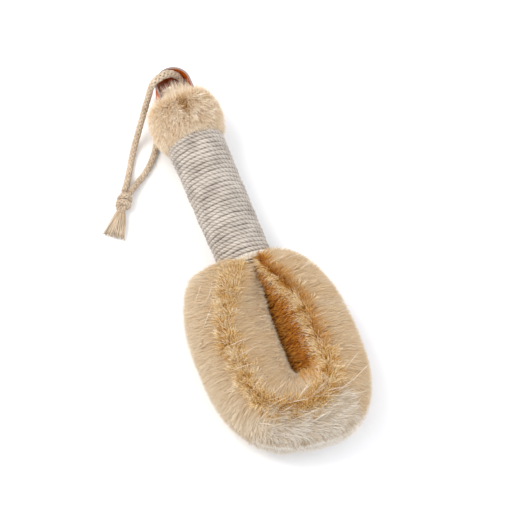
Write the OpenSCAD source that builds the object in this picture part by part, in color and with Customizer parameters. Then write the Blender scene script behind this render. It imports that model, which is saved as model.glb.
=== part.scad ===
// Body dry brush: a twisted wire core holds plant fibre, is bent into an oval loop for the head
// and runs back as two legs, bound with cotton cord, to a tufted collar and a hanging eye.
// The brush lies on its head. The handle runs along +Y, the head's toe points to -Y, +Z is up.

/* [Head] */
// Width of the bristle head
head_w = 97; // [86:1:118]
// Length of the bristle head, toe to shoulders
head_len = 128.5; // [110:1:160]
// Thickness of the bristle head before it is pressed on the floor
head_t = 48; // [40:1:58]
// How square the head's outline is, 2 being an ellipse
head_square = 2.7; // [2:0.1:3.2]
// Slope of the head's shoulders, rise over run
head_skew = 0.1; // [0:0.01:0.15]
// Sideways offset of the head from the handle's axis
head_off = -4.5; // [-6:0.5:6]
// Sideways offset of the slit between the legs' fibres
slit_off = 1.5; // [-2:0.5:3]
// Width of that slit
slit_w = 1; // [0.4:0.1:2]
// Distance between the two wire legs in the head
leg_span = 48; // [40:1:58]
// Length of the fibres at the toe
toe_fibre = 23; // [18:1:30]
// How far the head's underside is pressed flat
floor_press = 2; // [2:0.1:3]

/* [Handle] */
// Length of the cotton wrap
wrap_len = 90; // [60:1:130]
// Diameter over the wrap at the head
wrap_d_head = 33; // [32:0.5:38]
// Diameter over the wrap at the collar
wrap_d_collar = 35.4; // [33:0.2:40]
// Diameter of the cotton cord of the wrap
wrap_cord = 3.1; // [2.4:0.1:3.2]
// How deep the wrap's end sits below the head's shoulders
neck_sink = 9; // [6:0.5:12]
// Diameter of the tufted collar
collar_d = 44; // [42:0.5:50]
// Length of the tufted collar
collar_len = 29; // [26:1:42]

/* [Core] */
// Diameter of one core wire
wire_d = 1.8; // [1.4:0.1:2]
// Length of one full turn of the twisted wires
wire_lay = 18; // [14:1:26]
// Distance between the two wire legs inside the handle
leg_gap = 13; // [12:0.5:14]
// Diameter of the steel wire that binds the two legs
bind_wire = 1.2; // [0.8:0.1:1.4]
// Turns in each binding
bind_turns = 4; // [2:1:6]

/* [Hanging eye] */
// Outer width of the bent strip
eye_w = 22; // [21.4:0.1:22.6]
// Width of the metal strip
strip_w = 26; // [16:1:28]
// Width of the strip's tails inside the handle
tail_w = 12; // [8:0.5:12]
// Thickness of the strip
strip_t = 1.2; // [0.8:0.1:1.4]
// How far the eye stands out of the collar
eye_proud = 16; // [14.5:0.5:22]
// Length of the strip's tails under the wrap
tail_len = 24; // [14:1:40]

/* [Hanging cord] */
// Diameter of the braided cord
cord_d = 3.6; // [3:0.1:3.8]
// Diameter of the knot
knot_d = 10; // [9:0.5:12]
// Length of the knot
knot_len = 14; // [11:0.5:18]
// Length of the tassel
tassel_len = 13; // [8:1:25]
// Width of the tassel's cut end
tassel_w = 12.6; // [8:0.2:18]

/* [Hidden] */
$fn = 64;

fit = 0.1;            // clearance of a piece seated in the fibre
skirt = 1.2;          // how far the head's fibres stand off the wrap they surround
part_line = 0.3;      // gap between a left and a right tuft
fibre_lean = 0.85;    // how far a fibre leans towards the toe between its tip and the wire
flare = 42;           // length over which the wires spread at the neck
swell = 18;           // length over which the head reaches its full thickness
bind_inset = 5;       // distance of a binding from the wrap's end
collar_full = 0.47;   // where the collar is widest, as a share of its length
collar_base = 0.68;   // how much of the collar's lower curve is kept
collar_square = 2.5;  // squareness of the collar's profile
wire_cover = 9;       // fibre that covers the cut ends of the wires
big = 400;

// Places along the handle, measured from the middle of the head
axis_h = head_t / 2 - floor_press;
head_a = head_w / 2;
head_b = head_len / 2;
neck_y = head_b - neck_sink;
wrap_top = neck_y + wrap_len;
collar_top = wrap_top + collar_len;
eye_r = eye_w / 2;
eye_y = collar_top + eye_proud - eye_r;
loop_y = toe_fibre + leg_span / 2 - head_b;
wire_end = collar_top - wire_cover;
tail_end = wrap_top - tail_len;

// The head: stations run from the left of the neck, round the toe, to the right of the neck
leg_steps = 13;
toe_steps = 18;
ring_sides = 16;
channel_r = wire_d + 2 * fit;

function sgn(v) = v < 0 ? -1 : 1;
function pw(v, k) = sgn(v) * pow(abs(v), k);
function oval_x(side, phi) = head_off + side * head_a * pw(sin(phi), 2 / head_square);
function oval_y(phi) = head_b * pw(cos(phi), 2 / head_square);
function slope(x, y) = y - head_skew * (x - head_off) * abs(y) / head_b;
function edge(side, phi) = [oval_x(side, phi), slope(oval_x(side, phi), oval_y(phi))];
function wire_mix(y) = y > neck_y - flare ? (1 + cos(180 * (y - neck_y + flare) / flare)) / 2 : 1;
function wire_x(side, y) = side * leg_gap / 2 * (1 - wire_mix(y))
    + (head_off + side * leg_span / 2) * wire_mix(y);
function swelling(y) = pow(min(1, (neck_y - y) / swell), 0.5);
function half_t(y) = neck_t + (head_t / 2 - neck_t) * swelling(y);

neck_t = wrap_d_head / 2 + skirt;
first_phi = [for (side = [-1, 1])
    asin(pow((wrap_d_head / 2 + skirt - side * head_off) / head_a, head_square / 2))];
level_phi = acos(pw(loop_y / head_b, head_square / 2));

// One station: where the fibre tips, the wire and the slit are in plan, and the half thickness
function leg_station(side, phi) =
    let (y = oval_y(phi), wire_y = y > 0 ? y * fibre_lean : y)
    [edge(side, phi), [wire_x(side, wire_y), wire_y],
        [slit_off + side * slit_w / 2, wire_y], half_t(wire_y)];
function neck_station(side) =
    [[side * (wrap_d_head / 2 + skirt), neck_y], [side * leg_gap / 2, neck_y],
        [slit_off + side * slit_w / 2, neck_y], neck_t];
function toe_station(turn) =
    let (side = turn < 90 ? -1 : 1, part = side < 0 ? turn / 90 : (180 - turn) / 90,
        out = [-cos(turn), -sin(turn)])
    [edge(side, level_phi + part * (180 - level_phi)),
        [head_off, loop_y] + leg_span / 2 * out,
        [slit_off, loop_y] + slit_w / 2 * out, head_t / 2];
function leg_stations(side) =
    let (first = first_phi[side < 0 ? 0 : 1])
    [for (i = [0 : leg_steps - 1])
        leg_station(side, first + (level_phi - first) * i / leg_steps)];
function backwards(list) = [for (i = [len(list) - 1 : -1 : 0]) list[i]];

stations = concat([neck_station(-1)], leg_stations(-1),
    [for (i = [0 : toe_steps]) toe_station(180 * i / toe_steps)],
    backwards(leg_stations(1)), [neck_station(1)]);

// The wires' own line: up the left leg's handle part, round the head and back
wire_line = concat([[-leg_gap / 2, wire_end]], [for (s = stations) s[1]],
    [[leg_gap / 2, wire_end]]);

function unit(v) = v / norm(v);
function heading(line, i) =
    unit(line[min(i + 1, len(line) - 1)] - line[max(i - 1, 0)]);
function station_heading(i) =
    i == 0 ? [0, -1] : i == len(stations) - 1 ? [0, 1]
    : unit(stations[i + 1][1] - stations[i - 1][1]);

// A point of a head section: the fibre envelope, flat where it meets the floor
function envelope(s, turn) =
    let (reach = cos(turn) > 0 ? s[0] - s[1] : s[2] - s[1],
        spot = s[1] + abs(cos(turn)) * reach)
    [spot[0], spot[1], max(-axis_h, s[3] * sin(turn))];
function bore_point(i, turn) =
    let (h = station_heading(i), c = stations[i][1])
    [c[0] + channel_r * cos(turn) * h[1], c[1] - channel_r * cos(turn) * h[0],
        channel_r * sin(turn)];
head_skin = [for (s = stations) for (k = [0 : ring_sides - 1]) envelope(s, 360 * k / ring_sides)];
head_bore = [for (i = [0 : len(stations) - 1]) for (k = [0 : ring_sides - 1])
    bore_point(i, 360 * k / ring_sides)];

// Triangles between ring j and the next, and between two rings of one end
function split(q) = [[q[0], q[1], q[2]], [q[0], q[2], q[3]]];
function side_faces(rings, sides, base, flip) =
    [for (j = [0 : rings - 2]) for (k = [0 : sides - 1])
        let (n = (k + 1) % sides, a = base + j * sides + k, b = base + j * sides + n)
        for (f = split(flip ? [a, a + sides, b + sides, b] : [a, b, b + sides, a + sides])) f];
function end_faces(outer, inner, sides, flip) =
    [for (k = [0 : sides - 1])
        let (n = (k + 1) % sides)
        for (f = split(flip ? [outer + k, outer + n, inner + n, inner + k]
            : [outer + k, inner + k, inner + n, outer + n])) f];

// The object's box without its cord, for the origin
box_x = [min([for (p = head_skin) p[0]]), max([for (p = head_skin) p[0]])];
box_y = [min([for (p = head_skin) p[1]]), eye_y + eye_r];
origin = [(box_x[0] + box_x[1]) / 2, (box_y[0] + box_y[1]) / 2, -axis_h];

// The hanging cord: plan places from the eye's middle, heights above the floor.
// It leaves the knot, rises over the eye's left side, drops through the eye and comes back.
knot_at = [-52, -50, 5];
knot_dir = [0.6, 0.8, 0];
knot_side = [-0.8, 0.6, 0];
strand_gap = 1.9;
knot_front = knot_at + knot_len / 2 * knot_dir + strand_gap * knot_side;
knot_back = knot_at + knot_len / 2 * knot_dir - strand_gap * knot_side;
route = concat([knot_front],
    [[-45.5, -38, 3.6], [-42, -32, 2.2], [-38.5, -26, 1.9], [-35, -20.5, 2.2], [-31.5, -15.5, 4],
    [-28, -11.5, 7.5], [-24.5, -7.5, 12], [-21, -4, 17.5], [-18, -1, 23], [-15.5, 1, 29],
    [-13.4, 2.6, 34.4], [-10, 4.4, 37.6], [-4.5, 6.2, 37.2], [0.5, 7, 34.4], [4.5, 6, 30.5],
    [6.7, 4, 25.5], [7.3, 2.5, 20], [7.2, 1.5, 14], [5.5, 1, 8], [2, 0.5, 3.6],
    [-3, -0.5, 1.9], [-8.5, -3, 1.9], [-13, -7.5, 1.9], [-16.5, -13.5, 1.9],
    [-19.5, -20, 1.9], [-23.5, -26.2, 1.9], [-28, -31.5, 1.9], [-33.5, -36.2, 2.1],
    [-39, -40, 3]],
    [knot_back]);
cord_sides = 8;

function cord_heading(i) =
    i == 0 ? knot_dir : i == len(route) - 1 ? -knot_dir : unit(route[i + 1] - route[i - 1]);
function cord_ring(i) =
    let (h = cord_heading(i), side = unit(cross(h, [0, 0.6, 0.8])), up = cross(h, side))
    [for (k = [0 : cord_sides - 1])
        route[i] + cord_d / 2 * (cos(360 * k / cord_sides) * side
            + sin(360 * k / cord_sides) * up)];

// A ring of wire_sides round the twisted wires' line, a fixed distance along it
wire_sides = 6;
wire_steps = 8;
function cumulative(line, i = 0, sum = 0, out = []) =
    i == len(line) ? out
    : let (now = i == 0 ? 0 : sum + norm(line[i] - line[i - 1]))
        cumulative(line, i + 1, now, concat(out, [now]));
wire_run = cumulative(wire_line);
wire_total = wire_run[len(wire_run) - 1];
wire_rings = ceil(wire_total / wire_lay * wire_steps);
function strand_centre(n, phase) =
    let (d = wire_total * n / wire_rings,
        spot = [lookup(d, [for (i = [0 : len(wire_run) - 1]) [wire_run[i], wire_line[i][0]]]),
            lookup(d, [for (i = [0 : len(wire_run) - 1]) [wire_run[i], wire_line[i][1]]])],
        ahead = min(d + 1, wire_total), behind = max(d - 1, 0),
        h = unit([lookup(ahead, [for (i = [0 : len(wire_run) - 1]) [wire_run[i], wire_line[i][0]]])
            - lookup(behind, [for (i = [0 : len(wire_run) - 1]) [wire_run[i], wire_line[i][0]]]),
            lookup(ahead, [for (i = [0 : len(wire_run) - 1]) [wire_run[i], wire_line[i][1]]])
            - lookup(behind, [for (i = [0 : len(wire_run) - 1]) [wire_run[i], wire_line[i][1]]])]),
        turn = phase + 360 * d / wire_lay, away = wire_d / 2 + fit)
    [[spot[0] - h[1] * away * cos(turn), spot[1] + h[0] * away * cos(turn), away * sin(turn)], h];

module place() {
    translate(-origin) children();
}

// Turns a profile drawn as [radius, length] about the handle's axis, from y on
module along_handle(y) {
    translate([0, y, 0]) rotate([-90, 0, 0]) rotate_extrude() children();
}

// A sleeve of close turns of cord or wire, tapering from one outer radius to the other
module turns(count, pitch, r_out, r_in) {
    length = count * pitch;
    humps = [for (i = [0 : count - 1]) for (a = [-75, -38, 0, 38, 75])
        let (z = (i + 0.5 + sin(a) / 2) * pitch)
        [r_out[0] + (r_out[1] - r_out[0]) * z / length - pitch / 2 * (1 - cos(a)), z]];
    polygon(concat([[r_in[0], 0]], humps, [[r_in[1], length]]));
}

module sweep(points, rings, sides) {
    last = (rings - 1) * sides;
    caps = [[for (k = [0 : sides - 1]) k], [for (k = [sides - 1 : -1 : 0]) last + k]];
    polyhedron(points, concat(side_faces(rings, sides, 0, true), caps), convexity = 10);
}

module wire_strand(phase) {
    rings = [for (n = [0 : wire_rings]) strand_centre(n, phase)];
    points = [for (r = rings) for (k = [0 : wire_sides - 1])
        let (c = r[0], h = r[1], a = 360 * k / wire_sides)
        [c[0] - h[1] * wire_d / 2 * cos(a), c[1] + h[0] * wire_d / 2 * cos(a),
            c[2] + wire_d / 2 * sin(a)]];
    place() sweep(points, wire_rings + 1, wire_sides);
}

module wire_strand_a() {
    color("#b9bcc0") wire_strand(0);
}

module wire_strand_b() {
    color("#a6a9ad") wire_strand(180);
}

module head_bristles() {
    count = len(stations);
    skin_end = (count - 1) * ring_sides;
    bore_start = count * ring_sides;
    color("#d2af7a") place() polyhedron(concat(head_skin, head_bore),
        concat(side_faces(count, ring_sides, 0, false),
            side_faces(count, ring_sides, bore_start, true),
            end_faces(0, bore_start, ring_sides, false),
            end_faces(skin_end, bore_start + skin_end, ring_sides, true)), convexity = 10);
}

// Radius of the bound fibre under the wrap, at the head and at the collar
grip_r = [wrap_d_head / 2 - wrap_cord - fit, wrap_d_collar / 2 - wrap_cord - fit];
bind_len = bind_turns * bind_wire;
bind_y = [neck_y + bind_inset, wrap_top - bind_inset - bind_len];
function grip_at(y) = grip_r[0] + (grip_r[1] - grip_r[0]) * (y - neck_y) / wrap_len;

// One half of what turns about the handle, on its own side of the parting line
module half(side) {
    intersection() {
        children();
        translate([side > 0 ? part_line / 2 : -big - part_line / 2, -big, -big])
            cube([big, 2 * big, 2 * big]);
    }
}

// The strip as a solid, grown by gap all round to cut the slot that it lies in
module strip_solid(gap) {
    outer = eye_r + gap;
    inner = eye_r - strip_t - gap;
    wide = strip_w / 2 + gap;
    narrow = tail_w / 2 + gap;
    low = tail_end - gap;
    step = strip_w / 2 - tail_w / 2;
    intersection() {
        translate([0, 0, -strip_w]) linear_extrude(2 * strip_w) difference() {
            union() {
                translate([0, eye_y]) circle(r = outer);
                translate([-outer, low]) square([2 * outer, eye_y - low]);
            }
            translate([0, eye_y]) circle(r = inner);
            translate([-inner, low - 1]) square([2 * inner, eye_y - low + 1]);
        }
        rotate([0, 90, 0]) translate([0, 0, -eye_w]) linear_extrude(2 * eye_w)
            polygon([[-narrow, low], [narrow, low], [narrow, wrap_top], [wide, wrap_top + step],
                [wide, collar_top + big], [-wide, collar_top + big], [-wide, wrap_top + step],
                [-narrow, wrap_top]]);
    }
}

module wire_hole(side, from, to) {
    translate([side * leg_gap / 2, from, 0]) rotate([-90, 0, 0])
        cylinder(r = channel_r, h = to - from);
}

module grip_bristles(side) {
    groove = bind_wire + fit;
    place() half(side) difference() {
        along_handle(neck_y)
            polygon([[0, 0], [grip_r[0], 0], [grip_r[1], wrap_len], [0, wrap_len]]);
        wire_hole(side, neck_y - 1, wrap_top + 1);
        strip_solid(fit);
        for (y = bind_y) along_handle(y - fit)
            translate([grip_at(y) - groove, 0]) square([2 * groove, bind_len + 2 * fit]);
    }
}

module grip_bristles_left() {
    color("#c9a063") grip_bristles(-1);
}

module grip_bristles_right() {
    color("#c9a063") grip_bristles(1);
}

module binding(y) {
    r = grip_at(y);
    color("#8e9297") place() along_handle(y)
        turns(bind_turns, bind_wire, [r, r], [r - bind_wire, r - bind_wire]);
}

module neck_binding() {
    binding(bind_y[0]);
}

module collar_binding() {
    binding(bind_y[1]);
}

module cotton_wrap() {
    count = round(wrap_len / wrap_cord);
    pitch = wrap_len / count;
    color("#dbd2c6") place() along_handle(neck_y)
        turns(count, pitch, [wrap_d_head / 2, wrap_d_collar / 2],
            [grip_r[0] + fit, grip_r[1] + fit]);
}

// Profile of the collar: rounded over its top, cut off square where it meets the wrap
collar_mid = collar_len * collar_full;
collar_low = collar_mid / collar_base;
collar_steps = 14;
cut_angle = asin(pow(collar_base, collar_square / 2));
function collar_point(a) =
    [collar_d / 2 * pw(cos(a), 2 / collar_square),
        collar_mid + (a < 0 ? collar_low : collar_len - collar_mid) * pw(sin(a), 2 / collar_square)];

module collar_bristles(side) {
    rim = [for (i = [0 : collar_steps]) collar_point(-cut_angle + (90 + cut_angle) * i / collar_steps)];
    place() half(side) difference() {
        along_handle(wrap_top) polygon(concat([[0, 0]], rim));
        wire_hole(side, wrap_top - 1, wire_end + fit);
        strip_solid(fit);
        translate([-big, -big, -axis_h - big]) cube([2 * big, 2 * big, big]);
    }
}

module collar_bristles_left() {
    color("#d8bd92") collar_bristles(-1);
}

module collar_bristles_right() {
    color("#d8bd92") collar_bristles(1);
}

module eye_strip() {
    color("#a9551e") place() strip_solid(0);
}

// Moves children from the hanging cord's own places to the handle's
module from_eye() {
    translate([0, eye_y, -axis_h]) children();
}

module hanging_cord() {
    points = [for (i = [0 : len(route) - 1]) for (p = cord_ring(i)) p];
    color("#e2dacd") place() from_eye() sweep(points, len(route), cord_sides);
}

// Lays children, drawn along +Z from the knot's middle, along the knot
module along_knot() {
    translate(knot_at) rotate([0, 0, atan2(knot_dir[1], knot_dir[0])]) rotate([0, 90, 0])
        children();
}

module cord_knot() {
    face_r = strand_gap + cord_d / 2 + fit;
    steps = 10;
    swell_r = knot_d / 2 - face_r;
    side = [for (i = [0 : steps])
        [face_r + swell_r * sin(180 * i / steps), -knot_len / 2 + knot_len * i / steps]];
    color("#cfc2ae") place() from_eye() along_knot() rotate_extrude()
        polygon(concat([[0, -knot_len / 2]], side, [[0, knot_len / 2]]));
}

module cord_tassel() {
    root_r = cord_d * 0.7;
    thick = 5.2;
    slice = 0.5;
    color("#d6c8b0") place() from_eye() along_knot() hull() {
        translate([0, 0, -knot_len / 2 - slice]) cylinder(r = root_r, h = slice, $fn = 32);
        translate([knot_at[2] - thick / 2, 0, -knot_len / 2 - tassel_len])
            scale([thick / tassel_w, 1, 1]) cylinder(d = tassel_w, h = slice, $fn = 32);
    }
}

wire_strand_a();
wire_strand_b();
head_bristles();
grip_bristles_left();
grip_bristles_right();
collar_bristles_left();
collar_bristles_right();
neck_binding();
collar_binding();
cotton_wrap();
eye_strip();
hanging_cord();
cord_knot();
cord_tassel();
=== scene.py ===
import math

import bpy
import numpy as np
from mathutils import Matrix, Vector


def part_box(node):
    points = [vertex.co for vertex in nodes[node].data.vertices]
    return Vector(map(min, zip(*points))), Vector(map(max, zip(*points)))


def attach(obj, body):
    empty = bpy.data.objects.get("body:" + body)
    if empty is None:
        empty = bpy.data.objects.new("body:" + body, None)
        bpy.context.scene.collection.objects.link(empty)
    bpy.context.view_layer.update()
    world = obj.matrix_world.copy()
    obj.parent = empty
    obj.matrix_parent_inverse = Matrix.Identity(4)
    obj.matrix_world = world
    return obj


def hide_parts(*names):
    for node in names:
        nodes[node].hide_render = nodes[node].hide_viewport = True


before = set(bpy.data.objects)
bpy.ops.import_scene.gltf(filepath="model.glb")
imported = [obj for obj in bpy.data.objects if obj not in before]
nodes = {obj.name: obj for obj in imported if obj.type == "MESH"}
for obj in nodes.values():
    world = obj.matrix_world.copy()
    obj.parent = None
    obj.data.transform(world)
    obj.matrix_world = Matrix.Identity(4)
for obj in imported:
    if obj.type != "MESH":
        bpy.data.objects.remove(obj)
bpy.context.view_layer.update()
mm = 0.001  # sizes below are in millimetres, the scene is in metres


# Shared helpers

def toLinear(hexColour):
    parts = [int(hexColour[i:i + 2], 16) / 255 for i in (1, 3, 5)]
    return tuple(p / 12.92 if p <= 0.04045 else ((p + 0.055) / 1.055) ** 2.4 for p in parts) + (1.0,)


# Fills a node's inputs with values or with links from other sockets
def fill(tree, node, inputs):
    for key, value in inputs.items():
        if isinstance(value, bpy.types.NodeSocket):
            tree.links.new(value, node.inputs[key])
        else:
            node.inputs[key].default_value = value


def addNode(tree, kind, inputs=None, **settings):
    node = tree.nodes.new(kind)
    for key, value in settings.items():
        setattr(node, key, value)
    fill(tree, node, inputs or {})
    return node


def newMaterial(name):
    material = bpy.data.materials.new(name)
    material.use_nodes = True
    return material, material.node_tree, material.node_tree.nodes["Principled BSDF"]


# A Geometry Nodes tree with its named inputs, listed by their kind
def newTree(name, inputs):
    tree = bpy.data.node_groups.new(name, "GeometryNodeTree")
    for kind, names in inputs.items():
        for each in names:
            tree.interface.new_socket(each, in_out="INPUT", socket_type="NodeSocket" + kind)
    tree.interface.new_socket("Geometry", in_out="OUTPUT", socket_type="NodeSocketGeometry")
    return tree, addNode(tree, "NodeGroupInput").outputs


def meshObject(name, points, faces):
    mesh = bpy.data.meshes.new(name)
    mesh.from_pydata([tuple(p) for p in points], [], [tuple(f) for f in faces])
    mesh.update()
    thing = bpy.data.objects.new(name, mesh)
    bpy.context.scene.collection.objects.link(thing)
    return thing


def setAttribute(thing, name, kind, values):
    made = thing.data.attributes.new(name, kind, "POINT")
    key = "vector" if kind == "FLOAT_VECTOR" else "value"
    made.data.foreach_set(key, np.asarray(values, np.float32).ravel())


# Runs a Geometry Nodes tree on a carrier and keeps the result as a plain mesh
def grown(carrier, tree, values, name):
    modifier = carrier.modifiers.new("grow", "NODES")
    modifier.node_group = tree
    for item in tree.interface.items_tree:
        if item.item_type == "SOCKET" and item.in_out == "INPUT" and item.name in values:
            modifier[item.identifier] = values[item.name]
    graph = bpy.context.evaluated_depsgraph_get()
    mesh = bpy.data.meshes.new_from_object(carrier.evaluated_get(graph), depsgraph=graph)
    piece = bpy.data.objects.new(name, mesh)
    mesh.name = name
    bpy.context.scene.collection.objects.link(piece)
    carrier.modifiers.remove(modifier)
    bpy.data.objects.remove(carrier)
    return piece


def finished(piece, stands=()):
    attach(piece, "root")
    if stands:
        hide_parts(*stands)
    return piece


def smooth(low, high, value):
    t = np.clip((np.asarray(value, float) - low) / (high - low), 0, 1)
    return t * t * (3 - 2 * t)


def bell(value, middle, width):
    return np.exp(-((value - middle) / width) ** 2)


def unit(v):
    return v / np.maximum(np.linalg.norm(v, axis=-1, keepdims=True), 1e-9)


# The four-sided faces between rows of places; closed joins each row's end to its start
def gridFaces(rows, columns, closed=False):
    faces = []
    for i in range(rows - 1):
        for k in range(columns if closed else columns - 1):
            a, b = i * columns + k, i * columns + (k + 1) % columns
            faces.append((a, b, b + columns, a + columns))
    return faces


# Places: in the handle's frame the axis is at x 0 and z 0, and y is 0 at the middle of the head
wrapLow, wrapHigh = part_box("cotton_wrap")
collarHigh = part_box("collar_bristles_left")[1]
eyeLow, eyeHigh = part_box("eye_strip")
axisX = (wrapLow.x + wrapHigh.x) / 2 / mm
axisZ = (wrapLow.z + wrapHigh.z) / 2 / mm
neckY = 55.25  # where the wrap meets the head, from the middle of the head
middleY = wrapLow.y / mm - neckY
wrapTop = wrapHigh.y / mm - middleY
collarTop = collarHigh.y / mm - middleY
eyeRadius = 11.0
eyeY = eyeHigh.y / mm - middleY - eyeRadius


def place(points):
    return (np.asarray(points, float) + [axisX, middleY, axisZ]) * mm


# Measured from the eye's middle, with heights above the floor
def fromEye(points):
    return (np.asarray(points, float) + [axisX, middleY + eyeY, 0]) * mm


# Camera, light and floor

view = {
    "azimuth": -21.6,  # degrees round the object from its toe end
    "elevation": 68,  # degrees above the floor
    "distance": 2619,  # mm
    "lens": 300,  # long, so that near and far parts keep their sizes
    "target": (13.5, -7.0, 22.0),
}


def makeCamera():
    turn, rise = math.radians(view["azimuth"]), math.radians(view["elevation"])
    away = Vector((math.sin(turn) * math.cos(rise), -math.cos(turn) * math.cos(rise), math.sin(rise)))
    data = bpy.data.cameras.new("camera")
    data.lens = view["lens"]
    data.sensor_width = 36
    data.clip_start = 0.01
    camera = bpy.data.objects.new("camera", data)
    bpy.context.scene.collection.objects.link(camera)
    camera.location = Vector(view["target"]) * mm + away * view["distance"] * mm
    camera.rotation_euler = (-away).to_track_quat("-Z", "Y").to_euler()
    bpy.context.scene.camera = camera


lamps = {
    "key": {"place": (-620, 520, 1100), "size": 900, "power": 11.0, "colour": "#fff8f0"},
    "fill": {"place": (500, -700, 1000), "size": 1100, "power": 5.0, "colour": "#f6f9ff"},
}
sky = {"colour": "#f5f7fb", "strength": 1.02}
sweep = {"half": 4.0, "colour": "#fdfdfd", "roughness": 0.95}  # half its side, in metres


def makeLight():
    for name, values in lamps.items():
        data = bpy.data.lights.new(name, "AREA")
        data.shape = "DISK"
        data.size = values["size"] * mm
        data.energy = values["power"]
        data.color = toLinear(values["colour"])[:3]
        lamp = bpy.data.objects.new(name, data)
        bpy.context.scene.collection.objects.link(lamp)
        lamp.location = Vector(values["place"]) * mm
        lamp.rotation_euler = (-lamp.location).to_track_quat("-Z", "Y").to_euler()
    world = bpy.data.worlds.new("studio")
    world.use_nodes = True
    back = world.node_tree.nodes["Background"]
    back.inputs["Color"].default_value = toLinear(sky["colour"])
    back.inputs["Strength"].default_value = sky["strength"]
    bpy.context.scene.world = world
    bpy.context.scene.view_settings.view_transform = "Standard"


def makeFloor():
    h = sweep["half"]
    floor = meshObject("floor", [(-h, -h, 0), (h, -h, 0), (h, h, 0), (-h, h, 0)], [(0, 1, 2, 3)])
    paper, tree, shader = newMaterial("mattePaperSweep")  # matt white paper: soft shadows, no gloss
    fill(tree, shader, {"Base Color": toLinear(sweep["colour"]), "Roughness": sweep["roughness"]})
    floor.data.materials.append(paper)


makeCamera()
makeLight()
makeFloor()
print("camera, light and floor ready")


# Materials

# Sisal fibre, cut and combed: golden brown at the root, bleached to cream at the cut tip; the darkening
# towards the root is partly the fibre's own colour and partly painted shade deep in the pile.
# "tone" runs from brown to cream and "along" from root to tip; both are kept in the mesh.
fibreRamp = [
    (0.0, "#b05804"), (0.16, "#c87a18"), (0.32, "#cf9a50"), (0.48, "#d8bc93"),
    (0.64, "#e0cdb0"), (0.8, "#e9dcc6"), (1.0, "#faf3e8"),
]


def toneColour(tree, tone, stops):
    ramp = addNode(tree, "ShaderNodeValToRGB", {"Fac": tone})
    elements = ramp.color_ramp.elements
    elements[0].position, elements[0].color = stops[0][0], toLinear(stops[0][1])
    elements[1].position, elements[1].color = stops[-1][0], toLinear(stops[-1][1])
    for spot, colour in stops[1:-1]:
        elements.new(spot).color = toLinear(colour)
    return ramp.outputs["Color"]


def sisalFibre(name, rootBrownAndShade, stops=fibreRamp):
    material, tree, shader = newMaterial(name)
    tone = addNode(tree, "ShaderNodeAttribute", attribute_name="tone")
    along = addNode(tree, "ShaderNodeAttribute", attribute_name="along")
    # the root end is darkened: partly the fibre's browner root, partly painted shade deep in the pile
    fade = addNode(tree, "ShaderNodeMapRange", {
        "Value": along.outputs["Fac"], "From Min": 0.0, "From Max": 0.85, "To Min": -rootBrownAndShade, "To Max": 0.0})
    total = addNode(tree, "ShaderNodeMath", {
        0: tone.outputs["Fac"], 1: fade.outputs["Result"]}, operation="ADD")
    fill(tree, shader, {
        "Base Color": toneColour(tree, total.outputs["Value"], stops),
        "Roughness": 0.62, "IOR": 1.5, "Specular IOR Level": 0.3})
    return material


# The dense mat of fibre under the tips: the same sisal, matt and streaked
def sisalMat(name):
    material, tree, shader = newMaterial(name)
    where = addNode(tree, "ShaderNodeTexCoord")
    tone = addNode(tree, "ShaderNodeAttribute", attribute_name="tone")
    grain = addNode(tree, "ShaderNodeTexNoise", {
        "Vector": where.outputs["Object"], "Scale": 1 / (1.5 * mm), "Detail": 3.0, "Roughness": 0.6})
    shift = addNode(tree, "ShaderNodeMapRange", {
        "Value": grain.outputs["Fac"], "From Min": 0.3, "From Max": 0.7, "To Min": -0.16, "To Max": 0.1})
    total = addNode(tree, "ShaderNodeMath", {
        0: tone.outputs["Fac"], 1: shift.outputs["Result"]}, operation="ADD")
    bump = addNode(tree, "ShaderNodeBump", {
        "Height": grain.outputs["Fac"], "Strength": 0.6, "Distance": 0.6 * mm})
    fill(tree, shader, {
        "Base Color": toneColour(tree, total.outputs["Value"], fibreRamp), "Normal": bump.outputs["Normal"],
        "Roughness": 0.9, "Specular IOR Level": 0.15})
    return material


# Undyed cotton, spun and plied: soft matt off-white with painted shade in its grooves and a fine hairy grain,
# drawn a little coarser than the real hairs so that it shows
def spunCotton(name, light, dark, grainSize):
    material, tree, shader = newMaterial(name)
    where = addNode(tree, "ShaderNodeTexCoord")
    groove = addNode(tree, "ShaderNodeAttribute", attribute_name="groove")
    grain = addNode(tree, "ShaderNodeTexNoise", {
        "Vector": where.outputs["Object"], "Scale": 1 / (grainSize * mm), "Detail": 4.0, "Roughness": 0.65})
    patch = addNode(tree, "ShaderNodeTexNoise", {
        "Vector": where.outputs["Object"], "Scale": 1 / (9 * mm), "Detail": 2.0})
    mixed = addNode(tree, "ShaderNodeMath", {
        0: grain.outputs["Fac"], 1: patch.outputs["Fac"]}, operation="ADD")
    spread = addNode(tree, "ShaderNodeMapRange", {
        "Value": mixed.outputs["Value"], "From Min": 0.75, "From Max": 1.25, "To Min": 0.0, "To Max": 0.45})
    # the grain and patches are the cotton's own; the groove value kept in the mesh adds painted shade in the
    # ply valleys and under the braid's crossings, and a tone that differs from yarn to yarn in the tassel
    total = addNode(tree, "ShaderNodeMath", {
        0: spread.outputs["Result"], 1: groove.outputs["Fac"]}, operation="ADD", use_clamp=True)
    colour = addNode(tree, "ShaderNodeMix", {
        "Factor": total.outputs["Value"], "A": toLinear(light), "B": toLinear(dark)}, data_type="RGBA")
    bump = addNode(tree, "ShaderNodeBump", {
        "Height": grain.outputs["Fac"], "Strength": 0.5, "Distance": 0.25 * mm})
    fill(tree, shader, {
        "Base Color": colour.outputs["Result"], "Normal": bump.outputs["Normal"], "Roughness": 0.88,
        "Specular IOR Level": 0.2, "Sheen Weight": 0.25, "Sheen Roughness": 0.5})
    return material


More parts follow.
